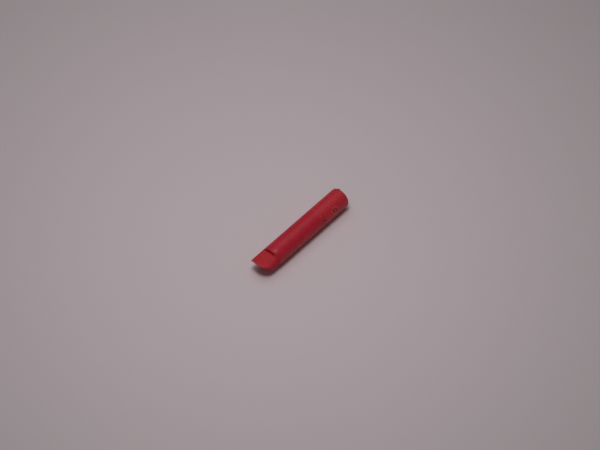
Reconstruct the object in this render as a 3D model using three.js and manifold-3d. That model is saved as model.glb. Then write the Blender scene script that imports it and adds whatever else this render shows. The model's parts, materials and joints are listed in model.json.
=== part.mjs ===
// A hand-held road flare lying on its side: a wound paper tube with a chisel-ended foot at -X and a
// push-on cap with a covered striker at +X. Millimetres, +Z up. The origin is on the resting surface,
// under the middle of the flare, and the flare's own axis runs along X at the height OUTER_R.

import * as THREE from 'three';
import { mergeVertices } from 'three/addons/utils/BufferGeometryUtils.js';
import Module from 'manifold-3d';

// Driving dimensions. Radii are across the flats, because every turned piece has SIDES flats.
const LENGTH = 140.7;
const OUTER_R = 12.7;
const SIDES = 24;
const JOINT_GAP = 0.3; // between pieces that move or meet end to end
const LAYER_GAP = 0.15; // between glued or pressed layers
const OVERSHOOT = 1; // how far a cutting tool reaches past the skin it cuts through
const TOOL_SIZE = 90; // side of the blocks that cut the foot, longer than anything they cut

// Wound tubes, from the inside out.
const BORE_R = 9.0;
const LINER_R = 10.2;
const CASING_R = 12.05;
const WRAP_BORE_R = CASING_R + LAYER_GAP;
const COLLAR_BORE_R = LINER_R + LAYER_GAP;
const COLLAR_R = 11.3;
const FILL_R = BORE_R - LAYER_GAP;

// Stations along X, from the foot to the cap.
const TIP_X = -LENGTH / 2;
const TUBE_START_X = -48.0;
const FOOT_SPIGOT_X = -27.0;
const CASING_END_X = 24.2;
const BAND_WIDTH = 6.5;
const BAND_X = CASING_END_X + JOINT_GAP;
const CAP_X = BAND_X + BAND_WIDTH + JOINT_GAP;
const COLLAR_END_X = 53.5;
const LINER_END_X = 55.5;
const CAP_WALL_X = 58.5;
const LID_SEAT_X = 60.5;
const LID_SPIGOT_X = 66.3;
const END_X = LENGTH / 2;

// Chisel end of the foot. Heights are from the flare's own axis.
const FACET_TIP_Z = 0.42 * OUTER_R;
const FACET_STEP_Z = 0.62 * OUTER_R;
const FACET_STEP_X = -49.6;
const FACET_STEP_SLANT = 0.07; // radians, seen from above
const TIP_LAND = 1.0; // thickness of the blunt tip edge
const UNDERCUT_ANGLE = THREE.MathUtils.degToRad(39); // below horizontal, towards the body
const WORN_CORNER_START_Y = 2.0;
const WORN_CORNER_LENGTH = 16.0;
const SHARP_CORNER = 1.2;
const CORNER_STEPS = 6;

// Tacks that hold the foot in the tube.
const TACK_X = -45.6;
const TACK_ANGLES = [75, 210, 315];
const TACK_HEAD_R = 2.3;
const TACK_HEAD_HEIGHT = 0.5;
const TACK_SHANK_R = 0.55;
const TACK_LENGTH = 6.0;
const TACK_POINT = 1.2;
const TACK_HOLE_R = TACK_SHANK_R + JOINT_GAP;
const TACK_DOME = [[0.5, 0.85], [0.9, 0.45]]; // shares of the head's height and radius

// Filling, in order from the foot towards the igniter.
const BASE_DISC_THICKNESS = 1.2;
const CLAY_THICKNESS = 8.0;
const CHARGE_LENGTH = 63.35;
const FIRST_FIRE_THICKNESS = 4.5;
const BUTTON_FLANGE_R = 8.0;
const BUTTON_FLANGE_THICKNESS = 1.2;
const BUTTON_R = 5.0;
const BUTTON_PROUD = 0.7;
const WASHER_THICKNESS = 1.5;

// Tear band, its running groove and its tab.
const BAND_BORE_R = 11.5;
const BAND_LIP_R = 11.05;
const BAND_LIP_WIDTH = 1.4;
const BAND_GROOVE_R = 10.8;
const BAND_GROOVE_WIDTH = BAND_LIP_WIDTH + 2 * JOINT_GAP;
const TAB_ANGLE = 8;
const TAB_X = 27.75;
const TAB_WIDTH = 3.2;
const TAB_LENGTH = 4.9;
const TAB_BOTTOM_R = 12.1;
const TAB_TOP_R = 12.6;
const TAB_POCKET_R = 11.9;
const TAB_NAIL_NOTCH = 2.2;

// Cap, grip dimple, striker and lid.
const CAP_BORE_R = COLLAR_R + JOINT_GAP;
const DIMPLE_X = 47.4;
const DIMPLE_ANGLE = 26;
const DIMPLE_R = 3.7;
const DIMPLE_RIB = 1.4;
const DIMPLE_DEPTH = 0.5;
const CUSHION_THICKNESS = 1.15;
const SPIGOT_R = 11.2;
const STRIKER_WELL_R = 9.6;
const STRIKER_DISC_R = STRIKER_WELL_R - JOINT_GAP;
const CARRIER_THICKNESS = 3.2;
const PAD_R = 8.8;
const PAD_THICKNESS = 1.4;
const LID_BORE_R = SPIGOT_R + JOINT_GAP;
const LID_CEILING_X = 68.2;
const LID_FILLET = 2.8;
const LID_FILLET_STEPS = 5;
const NUB_ANGLE = 101;
const NUB_X = 69.0;
const NUB_R = 1.3;
const NUB_ROOT_R = 10.9;
const NUB_TOP_R = 13.7;
const NUB_BEVEL = [0.8, 0.6]; // share of its height where its bevel starts, and of its radius on top

const wasm = await Module();
wasm.setup();

// Turns a closed three.js geometry into a solid that can be cut and joined.
function toSolid(geometry) {
  const bare = geometry.clone();
  bare.deleteAttribute('normal');
  bare.deleteAttribute('uv');
  const welded = mergeVertices(bare);
  const corners = welded.index.array;
  const kept = [];
  for (let i = 0; i < corners.length; i += 3) {
    const [a, b, c] = corners.slice(i, i + 3);
    if (a !== b && b !== c && c !== a) {
      kept.push(a, b, c);
    }
  }
  return new wasm.Manifold(new wasm.Mesh({
    numProp: 3,
    vertProperties: new Float32Array(welded.attributes.position.array),
    triVerts: new Uint32Array(kept),
  }));
}

// Turns a solid back into a flat-shaded three.js geometry.
function toGeometry(solid) {
  const mesh = solid.getMesh();
  const geometry = new THREE.BufferGeometry();
  geometry.setAttribute('position', new THREE.BufferAttribute(mesh.vertProperties, 3));
  geometry.setIndex(new THREE.BufferAttribute(mesh.triVerts, 1));
  const flat = geometry.toNonIndexed();
  flat.computeVertexNormals();
  return flat;
}

// A piece turned about the X axis from an outline of [x, radius] points. The outline runs with the
// material on its left, and starts and ends on the axis or closes on itself.
function turned(outline) {
  const acrossCorners = 1 / Math.cos(Math.PI / SIDES);
  const points = outline.map(([x, radius]) => new THREE.Vector2(radius * acrossCorners, x));
  const lathe = new THREE.LatheGeometry(points, SIDES, Math.PI / SIDES);
  return lathe.rotateZ(-Math.PI / 2);
}

function disc(startX, endX, radius) {
  return turned([[startX, 0], [startX, radius], [endX, radius], [endX, 0]]);
}

function tube(startX, endX, innerR, outerR) {
  return turned([
    [startX, innerR],
    [startX, outerR],
    [endX, outerR],
    [endX, innerR],
    [startX, innerR],
  ]);
}

// A round peg on a radial line, from an outline of [height, radius] points. Height 0 is at the given
// distance from the axis. Angle 0 points to -Y and 90 degrees points up.
function radialPeg(outline, x, angle, baseR) {
  const points = outline.map(([height, radius]) => new THREE.Vector2(radius, height));
  const peg = new THREE.LatheGeometry(points, SIDES);
  return placeRadially(peg.rotateX(Math.PI / 2), x, angle, baseR);
}

// Moves a geometry built along +Z so that its +Z points outward at the given angle round the flare.
function placeRadially(geometry, x, angle, baseR) {
  geometry.translate(0, 0, baseR);
  geometry.rotateX(Math.PI / 2 - THREE.MathUtils.degToRad(angle));
  return geometry.translate(x, 0, 0);
}

// A box whose top face lies on a plane through (x, z), tilted about Y by the given slope.
function halfSpaceBelow(x, z, slope) {
  const box = new THREE.BoxGeometry(TOOL_SIZE, TOOL_SIZE, TOOL_SIZE);
  box.translate(0, 0, -TOOL_SIZE / 2);
  box.rotateY(slope);
  return toSolid(box.translate(x, 0, z));
}

// A box that fills everything on the -X side of an upright plane through x, slanted about Z.
function halfSpaceBehind(x, slant) {
  const box = new THREE.BoxGeometry(TOOL_SIZE, TOOL_SIZE, TOOL_SIZE);
  box.translate(-TOOL_SIZE / 2, 0, 0);
  box.rotateZ(slant);
  return toSolid(box.translate(x, 0, 0));
}

// The foot's outline from above: one corner of the tip is nearly square and the other is worn round.
function footPlan() {
  const side = OUTER_R + OVERSHOOT;
  const backX = FOOT_SPIGOT_X + OVERSHOOT;
  const plan = new THREE.Shape();
  plan.moveTo(backX, side);
  plan.lineTo(TIP_X + SHARP_CORNER, side);
  plan.lineTo(TIP_X + SHARP_CORNER, OUTER_R);
  plan.quadraticCurveTo(TIP_X, OUTER_R, TIP_X, OUTER_R - SHARP_CORNER);
  plan.lineTo(TIP_X, WORN_CORNER_START_Y);
  plan.quadraticCurveTo(TIP_X, -OUTER_R, TIP_X + WORN_CORNER_LENGTH, -OUTER_R);
  plan.lineTo(TIP_X + WORN_CORNER_LENGTH, -side);
  plan.lineTo(backX, -side);
  const options = { depth: TOOL_SIZE, bevelEnabled: false, curveSegments: CORNER_STEPS };
  const block = new THREE.ExtrudeGeometry(plan, options);
  return toSolid(block.translate(0, 0, -TOOL_SIZE / 2));
}

function tackHole(angle) {
  const bottom = -TACK_LENGTH - JOINT_GAP;
  const outline = [[bottom, 0], [bottom, TACK_HOLE_R], [OVERSHOOT, TACK_HOLE_R], [OVERSHOOT, 0]];
  return toSolid(radialPeg(outline, TACK_X, angle, OUTER_R));
}

function withTackHoles(geometry) {
  const holes = TACK_ANGLES.map(tackHole);
  return toGeometry(holes.reduce((solid, hole) => solid.subtract(hole), toSolid(geometry)));
}

function footPlug() {
  const bodyEndX = TUBE_START_X - JOINT_GAP;
  const blank = toSolid(turned([
    [TIP_X - OVERSHOOT, 0],
    [TIP_X - OVERSHOOT, OUTER_R],
    [bodyEndX, OUTER_R],
    [bodyEndX, FILL_R],
    [FOOT_SPIGOT_X, FILL_R],
    [FOOT_SPIGOT_X, 0],
  ]));
  const facetSlope = -Math.atan2(FACET_STEP_Z - FACET_TIP_Z, FACET_STEP_X - TIP_X);
  const belowFacet = halfSpaceBelow(TIP_X, FACET_TIP_Z, facetSlope);
  const aboveFacet = halfSpaceBehind(FACET_STEP_X, FACET_STEP_SLANT).subtract(belowFacet);
  const undercut = halfSpaceBelow(TIP_X, FACET_TIP_Z - TIP_LAND, UNDERCUT_ANGLE);
  const chisel = blank.subtract(aboveFacet).subtract(undercut).intersect(footPlan());
  return withTackHoles(toGeometry(chisel));
}

function footTack(angle) {
  const outline = [
    [-TACK_LENGTH, 0],
    [-TACK_LENGTH + TACK_POINT, TACK_SHANK_R],
    [0, TACK_SHANK_R],
    [0, TACK_HEAD_R],
    ...TACK_DOME.map(([height, radius]) => [height * TACK_HEAD_HEIGHT, radius * TACK_HEAD_R]),
    [TACK_HEAD_HEIGHT, 0],
  ];
  return radialPeg(outline, TACK_X, angle, OUTER_R + LAYER_GAP);
}

function igniterButton(startX) {
  const flangeEndX = startX + BUTTON_FLANGE_THICKNESS;
  const topX = LINER_END_X + BUTTON_PROUD;
  return turned([
    [startX, 0],
    [startX, BUTTON_FLANGE_R],
    [flangeEndX, BUTTON_FLANGE_R],
    [flangeEndX, BUTTON_R],
    [topX, BUTTON_R],
    [topX, 0],
  ]);
}

// The sleeve on the neck, with the groove that the band's lip runs in.
function neckCollar() {
  const grooveX = BAND_X + (BAND_WIDTH - BAND_GROOVE_WIDTH) / 2;
  return turned([
    [BAND_X, COLLAR_BORE_R],
    [BAND_X, COLLAR_R],
    [grooveX, COLLAR_R],
    [grooveX, BAND_GROOVE_R],
    [grooveX + BAND_GROOVE_WIDTH, BAND_GROOVE_R],
    [grooveX + BAND_GROOVE_WIDTH, COLLAR_R],
    [COLLAR_END_X, COLLAR_R],
    [COLLAR_END_X, COLLAR_BORE_R],
    [BAND_X, COLLAR_BORE_R],
  ]);
}

// A curved plate that follows the band, cut from a turned ring by a box on a radial line.
function bandPlate(innerR, outerR, width, low, high) {
  const ring = toSolid(tube(BAND_X, BAND_X + BAND_WIDTH, innerR, outerR));
  const box = new THREE.BoxGeometry(width, high - low, OUTER_R);
  box.translate(0, (low + high) / 2, OUTER_R / 2);
  return ring.intersect(toSolid(placeRadially(box, TAB_X, TAB_ANGLE, OUTER_R / 2)));
}

function tearBand() {
  const endX = BAND_X + BAND_WIDTH;
  const lipX = BAND_X + (BAND_WIDTH - BAND_LIP_WIDTH) / 2;
  const band = toSolid(turned([
    [BAND_X, BAND_BORE_R],
    [BAND_X, OUTER_R],
    [endX, OUTER_R],
    [endX, BAND_BORE_R],
    [lipX + BAND_LIP_WIDTH, BAND_BORE_R],
    [lipX + BAND_LIP_WIDTH, BAND_LIP_R],
    [lipX, BAND_LIP_R],
    [lipX, BAND_BORE_R],
    [BAND_X, BAND_BORE_R],
  ]));
  const low = -TAB_LENGTH / 2 - JOINT_GAP;
  const high = TAB_LENGTH / 2 + TAB_NAIL_NOTCH;
  const pocket = bandPlate(TAB_POCKET_R, OUTER_R + OVERSHOOT, TAB_WIDTH + 2 * JOINT_GAP, low, high);
  return toGeometry(band.subtract(pocket));
}

function tearTab() {
  const plate = bandPlate(TAB_BOTTOM_R, TAB_TOP_R, TAB_WIDTH, -TAB_LENGTH / 2, TAB_LENGTH / 2);
  return toGeometry(plate);
}

// The cutter for the cap's grip dimple: a round recess with a rib left standing across it.
function gripDimple() {
  const outline = [
    [-DIMPLE_DEPTH, 0],
    [-DIMPLE_DEPTH, DIMPLE_R],
    [OVERSHOOT, DIMPLE_R],
    [OVERSHOOT, 0],
  ];
  const recess = toSolid(radialPeg(outline, DIMPLE_X, DIMPLE_ANGLE, OUTER_R));
  const rib = new THREE.BoxGeometry(DIMPLE_RIB, OUTER_R, OUTER_R);
  return recess.subtract(toSolid(placeRadially(rib, DIMPLE_X, DIMPLE_ANGLE, OUTER_R)));
}

// The cap: an open bore for the neck, a wall across it, and a hollow spigot that holds the striker.
function capShell() {
  const shell = toSolid(turned([
    [CAP_WALL_X, 0],
    [CAP_WALL_X, CAP_BORE_R],
    [CAP_X, CAP_BORE_R],
    [CAP_X, OUTER_R],
    [LID_SEAT_X, OUTER_R],
    [LID_SEAT_X, SPIGOT_R],
    [LID_SPIGOT_X, SPIGOT_R],
    [LID_SPIGOT_X, STRIKER_WELL_R],
    [LID_SEAT_X, STRIKER_WELL_R],
    [LID_SEAT_X, 0],
  ]));
  return toGeometry(shell.subtract(gripDimple()));
}

// The lid over the striker, with a filleted rim and a nub that the thumb pushes it off by.
function strikerCover() {
  const rim = [];
  for (let i = 0; i <= LID_FILLET_STEPS; i++) {
    const turn = (i / LID_FILLET_STEPS) * (Math.PI / 2);
    const x = END_X - LID_FILLET * (1 - Math.sin(turn));
    const radius = OUTER_R - LID_FILLET * (1 - Math.cos(turn));
    rim.push([x, radius]);
  }
  const lid = toSolid(turned([
    [LID_CEILING_X, 0],
    [LID_CEILING_X, LID_BORE_R],
    [LID_SEAT_X + JOINT_GAP, LID_BORE_R],
    [LID_SEAT_X + JOINT_GAP, OUTER_R],
    ...rim,
    [END_X, 0],
  ]));
  const height = NUB_TOP_R - NUB_ROOT_R;
  const [bevelStart, bevelTop] = NUB_BEVEL;
  const nubOutline = [
    [0, 0],
    [0, NUB_R],
    [bevelStart * height, NUB_R],
    [height, bevelTop * NUB_R],
    [height, 0],
  ];
  const nub = toSolid(radialPeg(nubOutline, NUB_X, NUB_ANGLE, NUB_ROOT_R));
  const inside = toSolid(disc(LID_SEAT_X, LID_CEILING_X, LID_BORE_R));
  return toGeometry(lid.add(nub.subtract(inside)));
}

const MATERIALS = {
  footPlastic: { color: 0xc9322f, roughness: 0.5, metalness: 0 },
  waxedPaper: { color: 0xc42a33, roughness: 0.45, metalness: 0 },
  kraft: { color: 0xa9835a, roughness: 0.9, metalness: 0 },
  card: { color: 0x9c8a70, roughness: 0.95, metalness: 0 },
  clay: { color: 0xb8a58c, roughness: 0.95, metalness: 0 },
  charge: { color: 0xb9b2a6, roughness: 0.9, metalness: 0 },
  firstFire: { color: 0x55504d, roughness: 0.9, metalness: 0 },
  igniter: { color: 0x3a2c2a, roughness: 0.85, metalness: 0 },
  redPlastic: { color: 0xc22b34, roughness: 0.42, metalness: 0 },
  felt: { color: 0x8d8a84, roughness: 1, metalness: 0 },
  wood: { color: 0xc39a66, roughness: 0.8, metalness: 0 },
  striker: { color: 0x4a2723, roughness: 0.95, metalness: 0 },
  tack: { color: 0xc9474b, roughness: 0.35, metalness: 0.2 },
};

const flare = new THREE.Group();
flare.position.z = OUTER_R;

function addPiece(name, geometry, finish) {
  const mesh = new THREE.Mesh(geometry, new THREE.MeshStandardMaterial(MATERIALS[finish]));
  mesh.name = name;
  flare.add(mesh);
}

addPiece('foot_plug', footPlug(), 'footPlastic');
TACK_ANGLES.forEach((angle, i) => addPiece(`foot_tack_${i + 1}`, footTack(angle), 'tack'));

addPiece('inner_tube', withTackHoles(tube(TUBE_START_X, LINER_END_X, BORE_R, LINER_R)), 'kraft');
addPiece('body_tube', withTackHoles(tube(TUBE_START_X, CASING_END_X, COLLAR_BORE_R, CASING_R)), 'kraft');
addPiece('outer_wrap', withTackHoles(tube(TUBE_START_X, CASING_END_X, WRAP_BORE_R, OUTER_R)), 'waxedPaper');

const baseDiscX = FOOT_SPIGOT_X + LAYER_GAP;
const clayX = baseDiscX + BASE_DISC_THICKNESS + LAYER_GAP;
const chargeX = clayX + CLAY_THICKNESS + LAYER_GAP;
const firstFireX = chargeX + CHARGE_LENGTH + LAYER_GAP;
const buttonX = firstFireX + FIRST_FIRE_THICKNESS + LAYER_GAP;
const washerX = buttonX + BUTTON_FLANGE_THICKNESS + LAYER_GAP;
addPiece('base_disc', disc(baseDiscX, baseDiscX + BASE_DISC_THICKNESS, FILL_R), 'card');
addPiece('clay_plug', disc(clayX, clayX + CLAY_THICKNESS, FILL_R), 'clay');
addPiece('main_charge', disc(chargeX, chargeX + CHARGE_LENGTH, FILL_R), 'charge');
addPiece('first_fire', disc(firstFireX, firstFireX + FIRST_FIRE_THICKNESS, FILL_R), 'firstFire');
addPiece('igniter_button', igniterButton(buttonX), 'igniter');
const washerBoreR = BUTTON_R + JOINT_GAP;
addPiece('igniter_washer', tube(washerX, washerX + WASHER_THICKNESS, washerBoreR, FILL_R), 'card');

addPiece('neck_collar', neckCollar(), 'redPlastic');
addPiece('tear_band', tearBand(), 'redPlastic');
addPiece('tear_tab', tearTab(), 'redPlastic');

addPiece('cap_shell', capShell(), 'redPlastic');
const cushionEndX = CAP_WALL_X - LAYER_GAP;
addPiece('cap_cushion', disc(cushionEndX - CUSHION_THICKNESS, cushionEndX, COLLAR_R), 'felt');
const carrierX = LID_SEAT_X + LAYER_GAP;
const padX = carrierX + CARRIER_THICKNESS + LAYER_GAP;
addPiece('striker_carrier', disc(carrierX, carrierX + CARRIER_THICKNESS, STRIKER_DISC_R), 'wood');
addPiece('striker_pad', disc(padX, padX + PAD_THICKNESS, PAD_R), 'striker');
addPiece('striker_cover', strikerCover(), 'redPlastic');

export default flare;
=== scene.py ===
"""Looks of a short hand-held road flare lying on a pale floor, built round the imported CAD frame.

The flare's own axis runs along X. Round pieces are turned again here with a fine surface. Angles
round the flare start at -Y, and 90 degrees points up. Everything is in metres.
"""

import json
import math

import bmesh
import bpy
import numpy as np
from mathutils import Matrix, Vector, noise


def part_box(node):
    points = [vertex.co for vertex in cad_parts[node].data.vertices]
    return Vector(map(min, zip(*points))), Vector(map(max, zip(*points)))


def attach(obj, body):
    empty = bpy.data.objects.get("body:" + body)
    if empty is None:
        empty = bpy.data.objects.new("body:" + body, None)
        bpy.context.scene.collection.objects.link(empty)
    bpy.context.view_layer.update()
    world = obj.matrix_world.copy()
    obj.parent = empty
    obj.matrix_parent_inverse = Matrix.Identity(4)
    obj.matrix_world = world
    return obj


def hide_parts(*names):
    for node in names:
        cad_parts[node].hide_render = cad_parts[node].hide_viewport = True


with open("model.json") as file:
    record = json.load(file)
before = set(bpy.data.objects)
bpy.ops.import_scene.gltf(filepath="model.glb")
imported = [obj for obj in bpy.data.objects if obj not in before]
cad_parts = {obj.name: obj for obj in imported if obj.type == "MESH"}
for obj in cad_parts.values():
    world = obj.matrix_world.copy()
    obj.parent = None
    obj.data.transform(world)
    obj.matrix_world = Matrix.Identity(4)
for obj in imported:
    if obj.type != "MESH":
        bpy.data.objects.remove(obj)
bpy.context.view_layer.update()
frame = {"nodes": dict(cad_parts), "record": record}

MM = 0.001

# --------------------------------------------------------------------------------------------
# Sizes, from the frame
# --------------------------------------------------------------------------------------------

WRAP_LOW, WRAP_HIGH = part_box("outer_wrap")
AXIS_Z = (WRAP_LOW.z + WRAP_HIGH.z) / 2
OUTER_R = (WRAP_HIGH.y - WRAP_LOW.y) / 2
BOXES = {node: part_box(node) for node in frame["nodes"]}


def span(node):
    """Start and end of a CAD node along the flare."""
    low, high = BOXES[node]
    return low.x, high.x


def radius(node):
    """Radius of a turned CAD node, across its flats."""
    low, high = BOXES[node]
    return (high.y - low.y) / 2


def on_flare(x, angle, r):
    """The point at a place along the flare, an angle round it and a radius."""
    return x, -r * math.cos(angle), AXIS_Z + r * math.sin(angle)


# --------------------------------------------------------------------------------------------
# Mesh tools
# --------------------------------------------------------------------------------------------

ARC_STEPS = 4
ON_AXIS = 1e-7  # a radius below this is a single point on the axis
BEND_GAIN = 6  # turns the mean bend round a point into an amount from 0 to 1
BEND_PASSES = 2


def rounded(corners, corner_radius, closed):
    """An outline of (x, radius) points with every corner off the axis turned into an arc."""
    points = []
    count = len(corners)
    for i, corner in enumerate(corners):
        here = Vector(corner)
        at_end = not closed and i in (0, count - 1)
        if at_end or here.y == 0:
            points.append(here)
            continue
        before = Vector(corners[i - 1]) - here
        after = Vector(corners[(i + 1) % count]) - here
        reach = min(corner_radius, 0.45 * before.length, 0.45 * after.length)
        start = here + before.normalized() * reach
        end = here + after.normalized() * reach
        for k in range(ARC_STEPS + 1):
            t = k / ARC_STEPS
            points.append(start * (1 - t) ** 2 + here * 2 * t * (1 - t) + end * t * t)
    return points


def subdivided(points, closed, step, from_radius):
    """The outline with long stretches cut into short ones, wherever it lies beyond a radius."""
    result = []
    count = len(points)
    last = count if closed else count - 1
    for i in range(last):
        start, end = points[i], points[(i + 1) % count]
        outside = min(start.y, end.y) >= from_radius
        cuts = max(1, math.ceil((end - start).length / step)) if outside else 1
        result += [start.lerp(end, k / cuts) for k in range(cuts)]
    if not closed:
        result.append(points[-1])
    return result


def lathed(mesh, outline, segments, closed=False, place=on_flare):
    """Adds the surface of an outline of (x, radius) points, turned about the axis or as placed."""
    rows = []
    for x, r in outline:
        turns = 1 if r < ON_AXIS else segments
        rows.append([mesh.verts.new(place(x, 2 * math.pi * k / segments, r)) for k in range(turns)])
    pairs = list(zip(rows, rows[1:])) + ([(rows[-1], rows[0])] if closed else [])
    for low, high in pairs:
        for k in range(segments):
            n = (k + 1) % segments
            if len(low) == 1:
                mesh.faces.new((low[0], high[k], high[n]))
            elif len(high) == 1:
                mesh.faces.new((low[k], high[0], low[n]))
            else:
                mesh.faces.new((low[k], high[k], high[n], low[n]))


def turned(name, corners, closed=False, corner_radius=0.25 * MM, segments=192, step=0.5 * MM,
           from_radius=0.0, shape=None):
    """A piece turned about the axis. shape(x, angle, radius) gives a point's new x and radius."""
    outline = rounded(corners, corner_radius, closed)
    outline = subdivided(outline, closed, step, from_radius)

    def place(x, angle, r):
        x, r = shape(x, angle, r) if shape and r > 0 else (x, r)
        return on_flare(x, angle, r)

    mesh = bmesh.new()
    lathed(mesh, outline, segments, closed, place)
    return piece(name, mesh)


def piece(name, mesh):
    """Turns a closed bmesh into a smooth-shaded object with its edges and hollows marked."""
    bmesh.ops.recalc_face_normals(mesh, faces=mesh.faces)
    data = bpy.data.meshes.new(name)
    mesh.to_mesh(data)
    mesh.free()
    obj = bpy.data.objects.new(name, data)
    bpy.context.scene.collection.objects.link(obj)
    dress(obj)
    return obj


def dress(obj, sharp=50):
    """Smooth shading, and how far each point is on an edge or in a hollow, as attributes."""
    data = obj.data
    data.polygons.foreach_set("use_smooth", [True] * len(data.polygons))
    data.set_sharp_from_angle(angle=math.radians(sharp))
    points = read(data.vertices, "co", 3)
    normals = read(data.vertices, "normal", 3)
    edges = np.zeros(len(data.edges) * 2, np.int32)
    data.edges.foreach_get("vertices", edges)
    a, b = edges.reshape(-1, 2).T
    across = points[b] - points[a]
    length = np.maximum(np.linalg.norm(across, axis=1), 1e-9)
    bend = np.zeros(len(points))
    count = np.zeros(len(points))
    np.add.at(bend, a, (across * normals[a]).sum(1) / length)
    np.add.at(bend, b, -(across * normals[b]).sum(1) / length)
    np.add.at(count, a, 1)
    np.add.at(count, b, 1)
    bend /= np.maximum(count, 1)
    for _ in range(BEND_PASSES):
        total = bend.copy()
        np.add.at(total, a, bend[b])
        np.add.at(total, b, bend[a])
        bend = total / (count + 1)
    store(data, "edge", np.clip(-bend * BEND_GAIN, 0, 1))
    store(data, "hollow", np.clip(bend * BEND_GAIN, 0, 1))


def read(items, field, width):
    values = np.zeros(len(items) * width, np.float32)
    items.foreach_get(field, values)
    return values.reshape(-1, width).astype(float)


def store(data, name, values):
    attribute = data.attributes.get(name) or data.attributes.new(name, "FLOAT", "POINT")
    attribute.data.foreach_set("value", np.asarray(values, np.float32))


def applied(obj):
    """Applies the object's modifiers."""
    bpy.context.view_layer.update()
    graph = bpy.context.evaluated_depsgraph_get()
    data = bpy.data.meshes.new_from_object(obj.evaluated_get(graph))
    obj.modifiers.clear()
    obj.data = data
    return obj


def store_mark(obj, amount, name="shade_and_grime_mark"):
    """Stores an amount per point, from amount(x, angle, radius), for a material's dark marks and
    painted highlights.
    """
    points = read(obj.data.vertices, "co", 3)
    radii = np.hypot(points[:, 1], points[:, 2] - AXIS_Z)
    angles = np.arctan2(points[:, 2] - AXIS_Z, -points[:, 1])
    store(obj.data, name, [amount(*values) for values in zip(points[:, 0], angles, radii)])


def smooth_step(low, high, value):
    t = min(1.0, max(0.0, (value - low) / (high - low)))
    return t * t * (3 - 2 * t)


def bumps(x, angle, r, scale, seed=0.0):
    """Smooth noise from -1 to 1 on the surface, with features of about the given size."""
    place = Vector((x, -r * math.cos(angle), r * math.sin(angle))) / scale
    return noise.noise(place + Vector((seed, seed, seed)))


def away(angle, centre):
    """Signed angle from centre, between minus and plus half a turn."""
    return (angle - centre + math.pi) % (2 * math.pi) - math.pi


# --------------------------------------------------------------------------------------------
# Material tools
# --------------------------------------------------------------------------------------------

NOISE_ROUGHNESS = 0.55
MIX_FACTOR, MIX_A, MIX_B, MIX_RESULT = 0, 6, 7, 2


class Shader:
    """A Principled material with short calls for the nodes that feed it."""

    def __init__(self, name, roughness=0.5, specular=0.5, sheen=0.0, coat=0.0, coat_roughness=0.3):
        self.material = bpy.data.materials.new(name)
        self.material.use_nodes = True
        self.tree = self.material.node_tree
        self.surface = self.tree.nodes["Principled BSDF"]
        self.surface.inputs["Roughness"].default_value = roughness
        self.surface.inputs["Specular IOR Level"].default_value = specular
        self.surface.inputs["Sheen Weight"].default_value = sheen
        self.surface.inputs["Coat Weight"].default_value = coat
        self.surface.inputs["Coat Roughness"].default_value = coat_roughness
        self.bump = None

    def node(self, kind, **inputs):
        made = self.tree.nodes.new(kind)
        for name, value in inputs.items():
            self.feed(made, name, value)
        return made

    def feed(self, node, name, value):
        """Links a socket to the input of this name or number, or sets the input's value."""
        if isinstance(value, bpy.types.NodeSocket):
            self.tree.links.new(value, node.inputs[name])
        else:
            node.inputs[name].default_value = value

    def place(self, stretch=(1, 1, 1)):
        """Object coordinates in millimetres, stretched."""
        here = self.node("ShaderNodeTexCoord").outputs["Object"]
        scale = [s / MM for s in stretch]
        return self.node("ShaderNodeMapping", Vector=here, Scale=scale).outputs["Vector"]

    def noise(self, scale, detail=4.0, stretch=(1, 1, 1), distortion=0.0):
        """Cloudy noise with features of about the given size in millimetres."""
        made = self.node("ShaderNodeTexNoise", Vector=self.place(stretch), Scale=1 / scale,
                         Detail=detail, Roughness=NOISE_ROUGHNESS, Distortion=distortion)
        return made.outputs["Fac"]

    def cells(self, scale):
        """Distance from the nearest cell's middle, for cells of the given size in millimetres."""
        made = self.node("ShaderNodeTexVoronoi", Vector=self.place(), Scale=1 / scale)
        return made.outputs["Distance"]

    def waves(self, scale, stretch, distortion, detail=2.0):
        made = self.node("ShaderNodeTexWave", Vector=self.place(stretch), Scale=scale,
                         Distortion=distortion, Detail=detail)
        return made.outputs["Fac"]

    def attribute(self, name):
        made = self.tree.nodes.new("ShaderNodeAttribute")
        made.attribute_name = name
        return made.outputs["Fac"]

    def spread(self, value, low, high, out_low=0.0, out_high=1.0):
        """Maps low..high to out_low..out_high, smoothly and held at the ends."""
        made = self.tree.nodes.new("ShaderNodeMapRange")
        made.interpolation_type = "SMOOTHSTEP"
        for name, number in (("Value", value), ("From Min", low), ("From Max", high),
                             ("To Min", out_low), ("To Max", out_high)):
            self.feed(made, name, number)
        return made.outputs["Result"]

    def times(self, a, b):
        made = self.tree.nodes.new("ShaderNodeMath")
        made.operation = "MULTIPLY"
        self.feed(made, 0, a)
        self.feed(made, 1, b)
        return made.outputs["Value"]

    def mix(self, factor, a, b):
        """Mixes two colours. A mix node has its sockets for colours after those for other types."""
        made = self.tree.nodes.new("ShaderNodeMix")
        made.data_type = "RGBA"
        self.feed(made, MIX_FACTOR, factor)
        self.feed(made, MIX_A, colour(a))
        self.feed(made, MIX_B, colour(b))
        return made.outputs[MIX_RESULT]

    def mark(self, base, name, amount, tone):
        """Lays a tone over the base where the piece's attribute of this name is high."""
        return self.mix(self.times(self.attribute(name), amount), base, tone)

    def raise_by(self, height, distance, strength):
        """Adds a bump of the given depth in millimetres on top of the bumps so far."""
        made = self.node("ShaderNodeBump", Height=height, Distance=distance * MM, Strength=strength)
        if self.bump is not None:
            self.tree.links.new(self.bump, made.inputs["Normal"])
        self.bump = made.outputs["Normal"]

    def done(self, base, roughness=None):
        self.feed(self.surface, "Base Color", colour(base))
        if roughness is not None:
            self.feed(self.surface, "Roughness", roughness)
        if self.bump is not None:
            self.tree.links.new(self.bump, self.surface.inputs["Normal"])
        return self.material


def colour(value):
    """A linear colour with its alpha added, or a socket as it is."""
    return (*value, 1.0) if isinstance(value, tuple) and len(value) == 3 else value


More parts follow.
